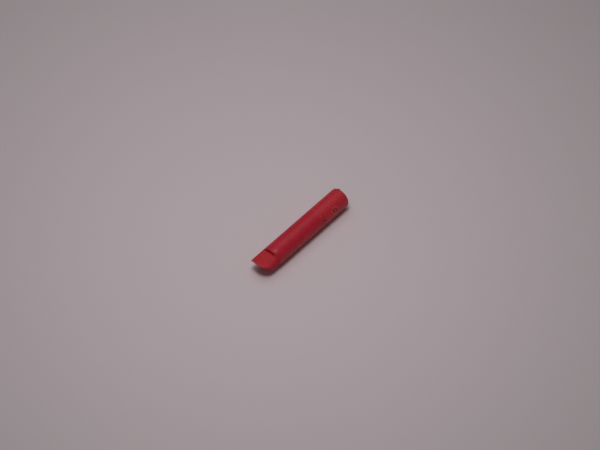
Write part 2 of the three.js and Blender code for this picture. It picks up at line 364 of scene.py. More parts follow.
# --------------------------------------------------------------------------------------------
# Materials. Colours are linear, and sizes in the shader calls are in millimetres.
# --------------------------------------------------------------------------------------------

WAX_RED = (0.61, 0.015, 0.038)
WAX_RED_DEEP = (0.54, 0.012, 0.034)
WAX_RED_LIGHT = (0.70, 0.030, 0.055)
FOOT_RED = (0.58, 0.014, 0.030)
CAP_RED = (0.61, 0.015, 0.032)
# Dark tone of specks, and of the painted shade laid into creases and hollows.
DIRT_AND_SHADE = (0.10, 0.035, 0.030)
SHADE_AND_GRIME_TONE = (0.20, 0.012, 0.022)  # painted shade in the tab pocket and grip dimple, and darker dents, pleats, nub and rim; it still shows the red
# Pale tone of scratches and worn edges, also laid on as painted highlight.
SCUFF_AND_HIGHLIGHT = (0.62, 0.16, 0.15)


def waxed_paper():
    """Red paper under wax: cloudy colour, long fibres, fine scratches, worn edges, painted shade in
    creases, and darker dents and pleats.
    """
    s = Shader("waxed_paper", specular=0.35, coat=0.06, coat_roughness=0.4)
    clouds = s.noise(9.0, detail=5.0)
    base = s.mix(s.spread(clouds, 0.35, 0.68), WAX_RED_DEEP, WAX_RED)
    streaks = s.noise(0.9, detail=6.0, stretch=(0.12, 1, 1))
    base = s.mix(s.spread(streaks, 0.52, 0.78, 0.0, 0.35), base, WAX_RED_LIGHT)
    scratches = s.noise(0.5, detail=2.0, stretch=(0.02, 1, 1), distortion=0.4)
    base = s.mix(s.spread(scratches, 0.66, 0.72, 0.0, 0.3), base, SCUFF_AND_HIGHLIGHT)
    worn_edges = s.times(s.attribute("edge"), s.spread(s.noise(0.8), 0.35, 0.6))
    base = s.mix(s.times(worn_edges, 0.5), base, SCUFF_AND_HIGHLIGHT)
    # Painted shade: darker in creases and hollows.
    base = s.mark(base, "hollow", 0.7, DIRT_AND_SHADE)
    # Darker in the dents and in the pleats round the tacks, from the stored mark.
    base = s.mark(base, "shade_and_grime_mark", 0.7, SHADE_AND_GRIME_TONE)
    s.raise_by(s.noise(2.5, detail=4.0), 0.05, 0.5)
    s.raise_by(streaks, 0.03, 0.6)
    s.raise_by(s.noise(0.18, detail=3.0), 0.02, 0.5)
    rough = s.spread(s.noise(3.0, detail=5.0), 0.3, 0.7, 0.40, 0.56)
    return s.done(base, rough)


def moulded_red(name, tone, mottle, patches, roughness, specular=0.45):
    """Red moulded plastic: a mottled skin, fine grain, dark specks, scuffs on edges, painted shade
    in hollows and recesses, darker marks, and painted highlights on raised marks.
    """
    s = Shader(name, specular=specular)
    dark = tuple(c * 0.88 for c in tone)
    light = tuple(min(1.0, c * 1.1 + 0.015) for c in tone)
    mottled = s.noise(mottle, detail=3.0, distortion=0.3)
    base = s.mix(s.spread(mottled, 0.38, 0.62), dark, light)
    base = s.mix(patches, tone, base)
    speck = s.spread(s.cells(2.6), 0.04, 0.09, 0.45, 0.0)
    base = s.mix(speck, base, DIRT_AND_SHADE)
    worn_edges = s.times(s.attribute("edge"), s.spread(s.noise(0.7), 0.4, 0.62))
    base = s.mix(s.times(worn_edges, 0.45), base, SCUFF_AND_HIGHLIGHT)
    # Painted shade: darker in creases and hollows.
    base = s.mark(base, "hollow", 0.75, DIRT_AND_SHADE)
    # Painted shade in the tab's pocket and the grip dimple, and darker on the lid's nub and rim,
    # from the stored mark.
    base = s.mark(base, "shade_and_grime_mark", 0.85, SHADE_AND_GRIME_TONE)
    # Painted highlight along the foot's tip edge and on the grip dimple's rim and rib.
    base = s.mark(base, "painted_highlight", 0.4, SCUFF_AND_HIGHLIGHT)
    s.raise_by(mottled, 0.07, 0.4)
    s.raise_by(s.noise(0.12, detail=2.0), 0.012, 0.6)
    low, high = roughness
    return s.done(base, s.spread(s.noise(1.6, detail=4.0), 0.3, 0.7, low, high))


def wound_kraft():
    """Brown kraft tube: fibres, the faint spiral of the winding, and the layers on its cut end."""
    s = Shader("wound_kraft", roughness=0.85, specular=0.25, sheen=0.1)
    fibres = s.noise(0.35, detail=6.0, stretch=(0.35, 1, 1))
    base = s.mix(s.spread(fibres, 0.3, 0.7), (0.34, 0.19, 0.10), (0.50, 0.32, 0.19))
    spiral = s.waves(1.2, (0.06, 0.02, 0.02), distortion=0.6)
    base = s.mix(s.spread(spiral, 0.93, 1.0, 0.0, 0.35), base, (0.20, 0.12, 0.06))
    base = s.mark(base, "edge", 0.4, (0.56, 0.42, 0.27))
    s.raise_by(fibres, 0.03, 0.7)
    s.raise_by(s.noise(0.1, detail=3.0), 0.02, 0.6)
    return s.done(base)


def rough_card(name, low, high):
    """Grey or buff card with loose fibres."""
    s = Shader(name, roughness=0.92, specular=0.2, sheen=0.15)
    fibres = s.noise(0.3, detail=6.0, distortion=1.2)
    base = s.mix(s.spread(fibres, 0.3, 0.7), low, high)
    base = s.mix(s.spread(s.cells(0.5), 0.05, 0.16, 0.5, 0.0), base, tuple(c * 0.5 for c in low))
    s.raise_by(fibres, 0.06, 0.7)
    return s.done(base)


def pressed_grains(name, low, high, grain, depth):
    """A pressed composition: coarse grains of two tones with small pits."""
    s = Shader(name, roughness=0.9, specular=0.3)
    grains = s.cells(grain)
    base = s.mix(s.spread(grains, 0.1, 0.7), high, low)
    clouds = s.spread(s.noise(grain * 4, detail=5.0), 0.4, 0.65)
    base = s.mix(clouds, base, tuple(c * 0.6 for c in low))
    s.raise_by(grains, depth, 0.8)
    s.raise_by(s.noise(grain * 0.4, detail=3.0), depth * 0.5, 0.7)
    return s.done(base)


def grey_felt():
    s = Shader("grey_felt", roughness=1.0, specular=0.1, sheen=0.5)
    hairs = s.noise(0.16, detail=6.0, stretch=(1, 0.25, 1), distortion=2.0)
    base = s.mix(s.spread(hairs, 0.3, 0.7), (0.16, 0.155, 0.15), (0.36, 0.35, 0.335))
    s.raise_by(hairs, 0.12, 0.8)
    return s.done(base)


def raw_wood():
    s = Shader("raw_wood", roughness=0.75, specular=0.3)
    rings = s.waves(0.35, (0.3, 1, 0.12), distortion=5.0, detail=3.0)
    base = s.mix(rings, (0.50, 0.32, 0.15), (0.62, 0.44, 0.24))
    pores = s.noise(0.25, detail=4.0, stretch=(0.2, 1, 1))
    base = s.mix(s.spread(pores, 0.58, 0.7, 0.0, 0.5), base, (0.28, 0.16, 0.07))
    s.raise_by(pores, 0.05, 0.6)
    return s.done(base)


def lacquered_tack():
    """A steel tack dipped in red lacquer, worn to the metal in small chips."""
    s = Shader("lacquered_tack", specular=0.4, coat=0.1, coat_roughness=0.3)
    chips = s.spread(s.noise(0.45, detail=5.0), 0.66, 0.70)
    streaks = s.spread(s.noise(0.9, detail=4.0, stretch=(1, 0.3, 1)), 0.38, 0.62)
    tone = s.mix(streaks, (0.60, 0.030, 0.040), (0.74, 0.11, 0.085))
    base = s.mix(chips, tone, (0.40, 0.33, 0.31))
    s.raise_by(s.noise(0.25, detail=3.0), 0.03, 0.5)
    s.feed(s.surface, "Metallic", chips)
    return s.done(base, s.spread(s.noise(0.5), 0.3, 0.7, 0.38, 0.55))


MATERIALS = {
    "waxed_paper": waxed_paper(),
    "kraft": wound_kraft(),
    "card": rough_card("buff_card", (0.27, 0.19, 0.13), (0.47, 0.37, 0.27)),
    "clay": pressed_grains("tamped_clay", (0.34, 0.27, 0.19), (0.50, 0.42, 0.32), 0.5, 0.08),
    "charge": pressed_grains("pressed_charge", (0.36, 0.33, 0.28), (0.56, 0.53, 0.47), 0.45, 0.08),
    "first_fire": pressed_grains("first_fire", (0.055, 0.05, 0.048), (0.14, 0.13, 0.125),
                                 0.35, 0.08),
    "igniter": pressed_grains("igniter", (0.035, 0.018, 0.016), (0.12, 0.055, 0.045), 0.3, 0.12),
    "striker": pressed_grains("striker", (0.055, 0.022, 0.018), (0.16, 0.06, 0.05), 0.35, 0.16),
    "felt": grey_felt(),
    "striker_wood": raw_wood(),
    "tack_steel": lacquered_tack(),
    "foot_plastic": moulded_red("foot_plastic", FOOT_RED, 3.5, 0.5, (0.5, 0.66), specular=0.22),
    "collar_plastic": moulded_red("collar_plastic", CAP_RED, 3.0, 0.4, (0.35, 0.5)),
    "cap_plastic": moulded_red("cap_plastic", CAP_RED, 1.8, 0.8, (0.38, 0.56)),
}


def finished(obj, body, slot, *nodes):
    """A piece rides on its body, stands for its CAD nodes, and takes its slot's material."""
    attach(obj, body)
    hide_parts(*nodes)
    obj.data.materials.clear()
    obj.data.materials.append(MATERIALS[slot])
    return obj


# --------------------------------------------------------------------------------------------
# Pieces of the body
# --------------------------------------------------------------------------------------------

HAIRLINE = 0.1 * MM  # how far fine pieces reach into the CAD's gaps, so that joints look tight
LAYER_GAP = 0.15 * MM  # between pressed or glued layers
SKIN_DEPTH = 0.3 * MM  # points this near the outside belong to a piece's outer skin

SEAM_ANGLE = math.radians(166)
SEAM_HEIGHT = 0.16 * MM
SEAM_RAMP = math.radians(50)
PAPER_WAVE = 0.03 * MM
RAGGED_EDGE = 0.12 * MM
PUCKER_DEPTH = 0.16 * MM
PUCKER_REACH = 7 * MM
PUCKER_FADE = 3.2 * MM
PLEATS = 7
NICK_DEPTH = 0.25 * MM

# Small dents in the wrap: (mm along the flare, degrees round it, size in mm).
NICKS = ((-20, 88, 0.9), (-8, 48, 0.7), (6, 112, 0.8),
         (15, 200, 1.0), (-31, 260, 0.8), (-3, 310, 0.7))


def pucker(x, angle):
    """How far the paper is drawn down round the tacks, in small pleats."""
    depth = 0
    for number in (1, 2, 3):
        low, high = BOXES[f"foot_tack_{number}"]
        middle = (low + high) / 2
        tack_angle = math.atan2(middle.z - AXIS_Z, -middle.y)
        along, around = x - middle.x, away(angle, tack_angle) * OUTER_R
        far = math.hypot(along, around)
        if far < PUCKER_REACH:
            pleats = 0.5 + 0.5 * math.cos(PLEATS * math.atan2(around, along))
            depth += PUCKER_DEPTH * pleats * math.exp(-(far / PUCKER_FADE) ** 2)
    return depth


def nick(x, angle):
    """Depth of the small dents, which are longer round the flare than along it."""
    depth = 0
    for place, degrees, size in NICKS:
        far = math.hypot(x - place * MM, 0.6 * away(angle, math.radians(degrees)) * OUTER_R)
        depth += NICK_DEPTH * math.exp(-(far / (size * 0.6 * MM)) ** 2)
    return depth


def make_wrap():
    """The red paper skin: a lap seam along its back, shallow waves and uneven cut edges."""
    start, end = span("outer_wrap")
    bore = radius("body_tube") + LAYER_GAP

    def skin(x, angle, r):
        if r > OUTER_R - SKIN_DEPTH:
            past = (angle - SEAM_ANGLE) % (2 * math.pi)
            dip = SEAM_HEIGHT * (1 - smooth_step(0, SEAM_RAMP, past)) if past < SEAM_RAMP else 0
            r -= dip + PAPER_WAVE * (1 + bumps(x, angle, r, 7 * MM))
            r -= pucker(x, angle) + nick(x, angle)
        ragged = RAGGED_EDGE * bumps(start, angle, r, 1.6 * MM)
        x += ragged * (1 - smooth_step(0, 2 * MM, x - start))
        return x, r

    # Darker in the dents and in the pleats round the tacks.
    def shade_and_grime(x, angle, r):
        return min(1, nick(x, angle) / (0.2 * MM)) + 0.25 * pucker(x, angle) / PUCKER_DEPTH

    corners = [(start - HAIRLINE, bore), (start - HAIRLINE, OUTER_R),
               (end + HAIRLINE, OUTER_R), (end + HAIRLINE, bore)]
    wrap = turned("outer_wrap_skin", corners, closed=True, corner_radius=0.18 * MM, segments=288,
                  from_radius=OUTER_R - 0.1 * MM, shape=skin)
    store_mark(wrap, shade_and_grime)
    finished(wrap, "body", "waxed_paper", "outer_wrap")


# The foot. Heights are from the flare's axis and lengths from the tip.
FOOT_FACET_TIP = 0.42 * OUTER_R
FOOT_FACET_STEP = 0.62 * OUTER_R
FOOT_STEP = 20.75 * MM
FOOT_FACET_SLOPE = math.atan2(FOOT_FACET_STEP - FOOT_FACET_TIP, FOOT_STEP)
FOOT_STEP_SLANT = 0.07
FOOT_TIP_LAND = 1.0 * MM
FOOT_UNDERCUT = math.radians(39)
FOOT_SHOULDER = 22.05 * MM
FOOT_WORN_START = 2.0 * MM
FOOT_WORN_LENGTH = 16.0 * MM
FOOT_CROWN_START = 3.0 * MM
FOOT_CROWN_R = 14.0 * MM
FOOT_SHARP_CORNER = 1.2 * MM
FOOT_EDGE = 0.10 * MM
FOOT_FADE_START = 1.5 * MM  # from here to FOOT_FADE_END, towards -Y, the foot's edges are worn away
FOOT_FADE_END = 9.0 * MM
FOOT_WORN_EDGE = 0.8 * MM
FOOT_WORN_STEP = 2.6 * MM
FOOT_DRAG = 0.09 * MM  # depth of the drag marks down the step
FOOT_HIGHLIGHT_REACH = 1.5 * MM  # how far in from the tip's edge the painted highlight reaches
FOOT_DENT = 0.05 * MM
FOOT_CHIP = 0.35 * MM
FOOT_CHIP_REACH = 9 * MM
SPIGOT_OVERLAP = 0.3 * MM
FOOT_VOXEL = 0.19 * MM
FOOT_PASSES = 14
PROBE = 0.01 * MM


def smooth_max(distances, softness):
    """The greatest of several distances, with the edge between them rounded by the softness."""
    stacked = np.stack(distances)
    top = stacked.max(axis=0)
    return top + softness * np.log(np.exp((stacked - top) / softness).sum(axis=0))


def curve_planes(start, control, end, count):
    """Half planes touching a quadratic curve from outside, as (normal x, normal y, offset)."""
    start, control, end = (np.array(place) for place in (start, control, end))
    planes = []
    for k in range(count):
        t = (k + 0.5) / count
        point = start * (1 - t) ** 2 + control * 2 * t * (1 - t) + end * t * t
        along = (control - start) * (1 - t) + (end - control) * t
        along /= np.linalg.norm(along)
        normal = np.array([-abs(along[1]), math.copysign(abs(along[0]), point[1] or -1)])
        planes.append((*normal, normal @ point))
    return planes


def foot_corners(x, y):
    """Signed distance from the tip's corners, seen from above: one worn round, one near square."""
    worn = curve_planes((0, FOOT_WORN_START), (0, -OUTER_R), (FOOT_WORN_LENGTH, -OUTER_R), 14)
    corner = FOOT_SHARP_CORNER
    square = curve_planes((corner, OUTER_R), (0, OUTER_R), (0, OUTER_R - corner), 4)
    return np.max([nx * x + ny * y - offset for nx, ny, offset in worn + square], axis=0)


def foot_facet(x, y, z):
    """Signed distance from the sloping facet on top, which is crowned towards -Y."""
    crown = np.maximum(-y - FOOT_CROWN_START, 0) ** 2 / (2 * FOOT_CROWN_R)
    slope = FOOT_FACET_SLOPE
    return (z - FOOT_FACET_TIP) * math.cos(slope) - x * math.sin(slope) + crown


def foot_step(x, y):
    """Signed distance from the upright step at the facet's end, with drag marks down it."""
    plane = (FOOT_STEP - x) * math.cos(FOOT_STEP_SLANT) - y * math.sin(FOOT_STEP_SLANT)
    marks = (0.6 * np.sin(y / (0.31 * MM)) + np.sin(y / (0.71 * MM) + 1.3)
             + 1.6 * np.sin(y / (1.63 * MM) + 0.4))
    return plane + FOOT_DRAG * marks


def foot_distance(points):
    """Signed distance from the foot's skin for rows of (x, y, z)."""
    tip, spigot_end = span("foot_plug")
    x, y, z = points[:, 0] - tip, points[:, 1], points[:, 2] - AXIS_Z
    r = np.hypot(y, z)
    worn = np.clip((-y - FOOT_FADE_START) / (FOOT_FADE_END - FOOT_FADE_START), 0, 1)
    worn = worn * worn * (3 - 2 * worn)
    edge = FOOT_EDGE + (FOOT_WORN_EDGE - FOOT_EDGE) * worn
    notch_softness = 0.5 * FOOT_EDGE + FOOT_WORN_STEP * worn
    notch = -smooth_max([-foot_facet(x, y, z), -foot_step(x, y)], notch_softness)
    base = FOOT_FACET_TIP - FOOT_TIP_LAND
    undercut = -(x * math.sin(FOOT_UNDERCUT) + (z - base) * math.cos(FOOT_UNDERCUT))
    shoulder = x - FOOT_SHOULDER - HAIRLINE
    body = smooth_max([r - OUTER_R, notch, undercut, -x, foot_corners(x, y)], edge)
    body = smooth_max([body, shoulder], FOOT_EDGE)
    spigot = np.maximum(r - radius("base_disc"), points[:, 0] - spigot_end)
    spigot = np.maximum(spigot, FOOT_SHOULDER - SPIGOT_OVERLAP - x)
    return np.minimum(body, spigot)


def sliced(outline, *cuts):
    """A turned block, cut off and closed at each (point, outward normal) plane."""
    block = bmesh.new()
    lathed(block, outline, 96)
    for point, normal in cuts:
        everything = block.verts[:] + block.edges[:] + block.faces[:]
        bmesh.ops.bisect_plane(block, geom=everything, plane_co=point, plane_no=normal,
                               clear_outer=True)
        bmesh.ops.holes_fill(block, edges=block.edges[:])
    bmesh.ops.recalc_face_normals(block, faces=block.faces)
    return block


def foot_blank():
    """Overlapping closed blocks that fill the foot: under the facet, behind the step, spigot."""
    tip, spigot_end = span("foot_plug")
    shoulder = tip + FOOT_SHOULDER
    facet = ((tip, 0, AXIS_Z + FOOT_FACET_TIP),
             (-math.sin(FOOT_FACET_SLOPE), 0, math.cos(FOOT_FACET_SLOPE)))
    undercut = ((tip, 0, AXIS_Z + FOOT_FACET_TIP - FOOT_TIP_LAND),
                (-math.sin(FOOT_UNDERCUT), 0, -math.cos(FOOT_UNDERCUT)))
    step = ((tip + FOOT_STEP, 0, AXIS_Z),
            (-math.cos(FOOT_STEP_SLANT), -math.sin(FOOT_STEP_SLANT), 0))
    data = bpy.data.meshes.new("foot_chisel")
    blank = bmesh.new()
    for start, end, r, cuts in (
        (tip, shoulder, OUTER_R, (facet, undercut)),
        (tip + FOOT_STEP / 2, shoulder, OUTER_R, (step,)),
        (shoulder - SPIGOT_OVERLAP, spigot_end, radius("base_disc"), ()),
    ):
        block = sliced([(start, 0), (start, r), (end, r), (end, 0)], *cuts)
        block.to_mesh(data)
        blank.from_mesh(data)
        block.free()
    blank.to_mesh(data)
    blank.free()
    return data


def make_foot():
    """The chisel foot: remeshed finely, then drawn point by point onto its softly edged shape."""
    foot = bpy.data.objects.new("foot_chisel", foot_blank())
    bpy.context.scene.collection.objects.link(foot)
    remesh = foot.modifiers.new("remesh", "REMESH")
    remesh.mode = "VOXEL"
    remesh.voxel_size = FOOT_VOXEL
    applied(foot)
    points = read(foot.data.vertices, "co", 3)
    tip, _ = span("foot_plug")
    for _ in range(FOOT_PASSES):
        distance = foot_distance(points)
        slope = np.stack([foot_distance(points + offset) - distance
                          for offset in np.eye(3) * PROBE], axis=1) / PROBE
        slope /= np.maximum(np.linalg.norm(slope, axis=1, keepdims=True), 1e-6)
        points -= slope * distance[:, None]
    foot.data.vertices.foreach_set("co", points.astype(np.float32).ravel())
    foot.data.update()
    normals = read(foot.data.vertices, "normal", 3)
    for i, point in enumerate(points):
        place = Vector(point)
        dent = noise.noise(place / (4 * MM)) * FOOT_DENT
        near_tip = 1 - smooth_step(0, FOOT_CHIP_REACH, point[0] - tip)
        dent += near_tip * max(0.0, noise.noise(place / (0.9 * MM)) - 0.15) * FOOT_CHIP
        points[i] -= normals[i] * max(0.0, dent)
    foot.data.vertices.foreach_set("co", points.astype(np.float32).ravel())
    foot.data.update()
    dress(foot, sharp=80)
    x, y, z = points[:, 0] - tip, points[:, 1], points[:, 2] - AXIS_Z
    # Painted highlight: paler along the tip's edge on the facet.
    near_edge = 1 - np.clip(-np.maximum(-x, foot_corners(x, y)) / FOOT_HIGHLIGHT_REACH, 0, 1)
    near_facet = 1 - np.clip(-foot_facet(x, y, z) / FOOT_HIGHLIGHT_REACH, 0, 1)
    store(foot.data, "painted_highlight", near_edge * near_facet)
    finished(foot, "body", "foot_plastic", "foot_plug")


# The tacks. Heights are from TACK_STAND above the wrap.
TACK_STAND = 0.05 * MM
TACK_HEAD_R = 2.3 * MM
TACK_HEAD_TOP = 0.5 * MM
TACK_HEAD_RIM = 0.12 * MM
TACK_HEAD_SEAT = -0.15 * MM
TACK_SHANK_R = 0.55 * MM
TACK_SHANK_END = -4.8 * MM
TACK_POINT = -6.0 * MM
TACK_DOME_STEPS = 9


def make_tacks():
    """Low domed tack heads with their shanks, seated on the wrap."""
    outline = [(TACK_POINT, 0), (TACK_SHANK_END, TACK_SHANK_R), (TACK_HEAD_SEAT, TACK_SHANK_R),
               (TACK_HEAD_SEAT, TACK_HEAD_R), (TACK_HEAD_RIM, TACK_HEAD_R)]
    for k in range(1, TACK_DOME_STEPS + 1):
        turn = k / TACK_DOME_STEPS * math.pi / 2
        height = TACK_HEAD_RIM + (TACK_HEAD_TOP - TACK_HEAD_RIM) * math.sin(turn)
        outline.append((height, TACK_HEAD_R * math.cos(turn)))
    along = Vector((1, 0, 0))
    for number in (1, 2, 3):
        node = f"foot_tack_{number}"
        low, high = BOXES[node]
        middle = (low + high) / 2
        out = Vector((0, middle.y, middle.z - AXIS_Z)).normalized()
        base = Vector((middle.x, 0, AXIS_Z)) + out * (OUTER_R + TACK_STAND)

        def place(height, angle, r, out=out, base=base):
            across = along * math.cos(angle) + out.cross(along) * math.sin(angle)
            return base + out * height + across * r

        mesh = bmesh.new()
        lathed(mesh, outline, 48, place=place)
        finished(piece(f"tack_{number}", mesh), "body", "tack_steel", node)


# The neck, which shows when the cap is off.
GROOVE_R = 10.8 * MM
GROOVE_HALF_WIDTH = 1.0 * MM
COLLAR_LEAD_LENGTH = 1.2 * MM
COLLAR_LEAD_DROP = 0.5 * MM
LINER_BORE_R = 9.0 * MM
BUTTON_R = 5.0 * MM
BUTTON_FLANGE = 1.2 * MM
WASHER_BORE_R = 5.3 * MM


def ring(start, end, bore, outer):
    """The closed outline of a plain ring."""
    return [(start, bore), (start, outer), (end, outer), (end, bore)]


def make_collar():
    """The collar on the neck, with a groove for the band's lip and a lead at its end."""
    start, end = span("neck_collar")
    outer, bore = radius("neck_collar"), radius("inner_tube") + LAYER_GAP
    middle = sum(span("tear_band")) / 2
    half = GROOVE_HALF_WIDTH
    corners = [(start, bore), (start, outer), (middle - half, outer), (middle - half, GROOVE_R),
               (middle + half, GROOVE_R), (middle + half, outer),
               (end - COLLAR_LEAD_LENGTH, outer), (end, outer - COLLAR_LEAD_DROP), (end, bore)]
    collar = turned("neck_sleeve", corners, closed=True, corner_radius=0.2 * MM)
    finished(collar, "body", "collar_plastic", "neck_collar")


def make_liner():
    """The wound liner, whose cut end is uneven."""
    start, end = span("inner_tube")

    def wound(x, angle, r):
        if x > end - 1 * MM:
            x += 0.08 * MM * bumps(x, angle, r * 6, 1.2 * MM)
        return x, r + 0.02 * MM * bumps(x, angle, r, 1.5 * MM)

    corners = ring(start, end, LINER_BORE_R, radius("inner_tube"))
    liner = turned("liner", corners, closed=True, corner_radius=0.12 * MM, step=0.4 * MM,
                   shape=wound)
    finished(liner, "body", "kraft", "inner_tube")


def make_igniter():
    """The lumpy igniter button with its flange, and the card washer over it."""
    start, end = span("igniter_button")
    flange = start + BUTTON_FLANGE

    def lumpy(x, angle, r):
        if x > flange + 0.1 * MM:
            x += (0.22 * MM * bumps(x, angle, r, 0.9 * MM)
                  + 0.12 * MM * bumps(x, angle, r, 0.4 * MM, 3.0))
        return x, r

    corners = [(start, 0), (start, radius("igniter_button")), (flange, radius("igniter_button")),
               (flange, BUTTON_R), (end - 0.5 * MM, BUTTON_R), (end - 0.25 * MM, BUTTON_R * 0.7),
               (end - 0.2 * MM, 0)]
    button = turned("igniter_dome", corners, corner_radius=0.5 * MM, step=0.25 * MM,
                    segments=128, shape=lumpy)
    finished(button, "body", "igniter", "igniter_button")

    def fibrous(x, angle, r):
        return (x + 0.05 * MM * bumps(x, angle, r, 0.8 * MM),
                r + 0.05 * MM * bumps(x, angle, r, 1.2 * MM))

    corners = ring(*span("igniter_washer"), WASHER_BORE_R, radius("igniter_washer"))
    washer = turned("igniter_washer_card", corners, closed=True, corner_radius=0.15 * MM,
                    step=0.4 * MM, shape=fibrous)
    finished(washer, "body", "card", "igniter_washer")


# --------------------------------------------------------------------------------------------
# Tear band and tab
# --------------------------------------------------------------------------------------------

TAB_ANGLE = math.radians(8)
TAB_X = 27.75 * MM
TAB_POCKET_R = 11.9 * MM
TAB_TOP_R = 12.6 * MM
TAB_BOTTOM_R = 12.1 * MM
TAB_HALF_WIDTH = 1.6 * MM
TAB_HALF_LENGTH = 2.45 * MM
TAB_CORNER = 0.6 * MM
TAB_RIB = 0.14 * MM
TAB_RIB_MIDDLE = 0.45  # of the half length, towards the free end
TAB_RIM_DROP = 0.12 * MM
NAIL_NOTCH = 2.2 * MM
TAB_GAP = 0.3 * MM
TAB_SHADE_REACH = 4.5 * MM
BAND_BORE_R = 11.5 * MM
BAND_LIP_R = 11.05 * MM
BAND_LIP_HALF_WIDTH = 0.7 * MM
PERFORATIONS = 48
PERFORATION_DEPTH = 0.28 * MM


def make_tear_band():
    """The band between body and cap: a pocket for its tab, and perforations along each edge."""
    start, end = span("tear_band")
    start, end = start - HAIRLINE, end + HAIRLINE
    middle = (start + end) / 2
    low = -TAB_HALF_LENGTH - TAB_GAP
    high = TAB_HALF_LENGTH + NAIL_NOTCH
    half_pocket = TAB_HALF_WIDTH + TAB_GAP

    def skin(x, angle, r):
        if r < OUTER_R - SKIN_DEPTH:
            return x, r
        around = away(angle, TAB_ANGLE) * OUTER_R
        inside = min(half_pocket - abs(x - TAB_X), around - low, high - around)
        depth = (OUTER_R - TAB_POCKET_R) * smooth_step(-0.1 * MM, 0.15 * MM, inside)
        at_edge = 1 - smooth_step(0.05 * MM, 0.55 * MM, min(x - start, end - x))
        tooth = abs((angle * PERFORATIONS / (2 * math.pi)) % 1 - 0.5) * 2
        depth += PERFORATION_DEPTH * at_edge * smooth_step(0.45, 0.6, tooth)
        return x, r - depth

    lip_start, lip_end = middle - BAND_LIP_HALF_WIDTH, middle + BAND_LIP_HALF_WIDTH
    corners = [(start, BAND_BORE_R), (start, OUTER_R), (end, OUTER_R), (end, BAND_BORE_R),
               (lip_end, BAND_BORE_R), (lip_end, BAND_LIP_R),
               (lip_start, BAND_LIP_R), (lip_start, BAND_BORE_R)]
    band = turned("tear_ring", corners, closed=True, corner_radius=0.15 * MM, segments=480,
                  step=0.16 * MM, from_radius=OUTER_R - 0.05 * MM, shape=skin)

    # Painted shade: darker down in the tab's pocket and in a patch round it.
    def shade_and_grime(x, angle, r):
        if r < TAB_POCKET_R - 0.1 * MM:
            return 0
        around = away(angle, TAB_ANGLE) * OUTER_R - (low + high) / 2
        patch = math.exp(-(math.hypot(x - TAB_X, around) / TAB_SHADE_REACH) ** 2)
        return min(1, 0.75 * smooth_step(0.05 * MM, 0.6 * MM, OUTER_R - r) + 0.3 * patch)

    store_mark(band, shade_and_grime)
    finished(band, "band", "cap_plastic", "tear_band")


def make_tear_tab():
    """A curved plate with round corners, and ribs for the fingernail on its free half."""
    columns, rows = 32, 44
    inner_width, inner_length = TAB_HALF_WIDTH - TAB_CORNER, TAB_HALF_LENGTH - TAB_CORNER

    def place(u, v, r):
        x, y = u * TAB_HALF_WIDTH, v * TAB_HALF_LENGTH
        past_x, past_y = abs(x) - inner_width, abs(y) - inner_length
        if past_x > 0 and past_y > 0:
            scale = max(past_x, past_y) / math.hypot(past_x, past_y)
            x = math.copysign(inner_width + past_x * scale, x)
            y = math.copysign(inner_length + past_y * scale, y)
        return on_flare(TAB_X + x, TAB_ANGLE + y / TAB_TOP_R, r)

    def top_radius(u, v):
        rim = TAB_RIM_DROP * (1 - smooth_step(0, 0.16, 1 - max(abs(u), abs(v))))
        wave = max(0.0, math.cos((v - TAB_RIB_MIDDLE) * 5.2 * math.pi)) if 0.05 < v < 0.85 else 0
        return TAB_TOP_R - TAB_RIB - rim + TAB_RIB * wave * smooth_step(0.05, 0.3, 1 - abs(u))

    mesh = bmesh.new()
    top, bottom = {}, {}
    for i in range(columns + 1):
        for j in range(rows + 1):
            u, v = 2 * i / columns - 1, 2 * j / rows - 1
            top[i, j] = mesh.verts.new(place(u, v, top_radius(u, v)))
            lifted = 0.05 * MM if i in (0, columns) or j in (0, rows) else 0
            bottom[i, j] = mesh.verts.new(place(u, v, TAB_BOTTOM_R + lifted))
    for i in range(columns):
        for j in range(rows):
            for grid in (top, bottom):
                mesh.faces.new((grid[i, j], grid[i + 1, j], grid[i + 1, j + 1], grid[i, j + 1]))
    outline = ([(i, 0) for i in range(columns)] + [(columns, j) for j in range(rows)]
               + [(i, rows) for i in range(columns, 0, -1)] + [(0, j) for j in range(rows, 0, -1)])
    for a, b in zip(outline, outline[1:] + outline[:1]):
        mesh.faces.new((top[a], top[b], bottom[b], bottom[a]))
    finished(piece("tear_pull", mesh), "tab", "cap_plastic", "tear_tab")


# --------------------------------------------------------------------------------------------
# Cap, striker and lid
# --------------------------------------------------------------------------------------------

DIMPLE_X = 47.4 * MM
DIMPLE_ANGLE = math.radians(26)
DIMPLE_R = 3.7 * MM
DIMPLE_RIB = 1.4 * MM
DIMPLE_DEPTH = 0.5 * MM
DIMPLE_RIM = 0.1 * MM
CAP_WAVE = 0.025 * MM
CAP_BORE_R = 11.6 * MM
CAP_LEAD_LENGTH = 1.2 * MM
CAP_LEAD = 0.3 * MM
SPIGOT_R = 11.2 * MM
STRIKER_WELL_R = 9.6 * MM
SEAT_GAP = 0.3 * MM  # between the cap's shoulder and the lid
STRIKER_GRIT = 0.25 * MM  # room for the grit in front of the pad
LID_BORE_R = 11.5 * MM
LID_TOP = 2.15 * MM
LID_FILLET = 2.8 * MM
LID_FILLET_STEPS = 16
LID_UNMARKED_R = 9 * MM  # no darkening on the end face inside this
NUB_ANGLE = math.radians(101)
NUB_R = 1.4 * MM
NUB_FROM_END = 1.7 * MM


def cap_skin(x, angle, r):
    """Shared slight unevenness of the moulded outside."""
    return r - CAP_WAVE * (1 + bumps(x, angle, r, 3.5 * MM, 5.0))


def from_dimple(x, angle):
    """Distance from the grip dimple's middle line and from its middle."""
    along = abs(x - DIMPLE_X)
    return along, math.hypot(along, away(angle, DIMPLE_ANGLE) * OUTER_R)


